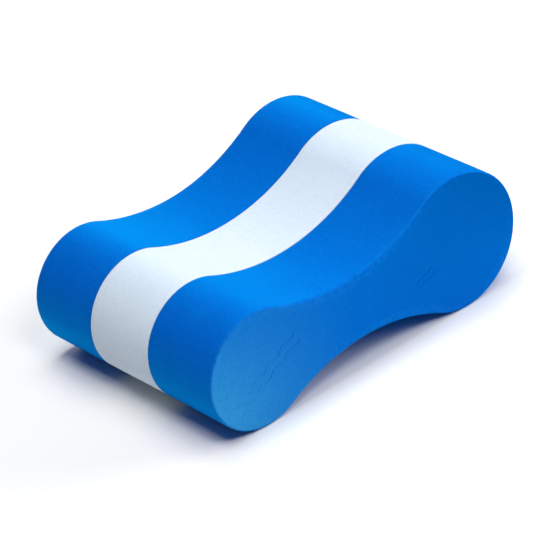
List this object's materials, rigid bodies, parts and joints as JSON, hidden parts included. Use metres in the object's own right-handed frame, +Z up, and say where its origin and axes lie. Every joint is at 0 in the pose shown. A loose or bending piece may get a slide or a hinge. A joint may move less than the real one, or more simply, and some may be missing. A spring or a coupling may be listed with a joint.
{
  "type": "pull buoy",
  "caption": "Laminated foam leg float for swimmers: figure-of-eight block with a large and a small lobe and a waist that the thighs grip, blue outer slabs and a white core.",
  "frame": {"origin": "on the ground under the centre of the bounding box", "axes": "+X along the length towards the large lobe, +Y across the slabs towards the left slab, +Z up"},
  "size_m": [0.2206, 0.15, 0.0815],
  "materials": {
    "foam_blue": "fine-celled closed-cell EVA foam, satin, saturated blue",
    "foam_white": "fine-celled closed-cell EVA foam, matte, slightly bluish white",
    "adhesive": "cured contact adhesive, satin, dark blue-grey hairline at the joints"
  },
  "bodies": {
    "root": {"foam_slab_right": "foam_blue", "adhesive_film_right": "adhesive", "foam_slab_centre": "foam_white", "adhesive_film_left": "adhesive", "foam_slab_left": "foam_blue"}
  },
  "joints": []
}
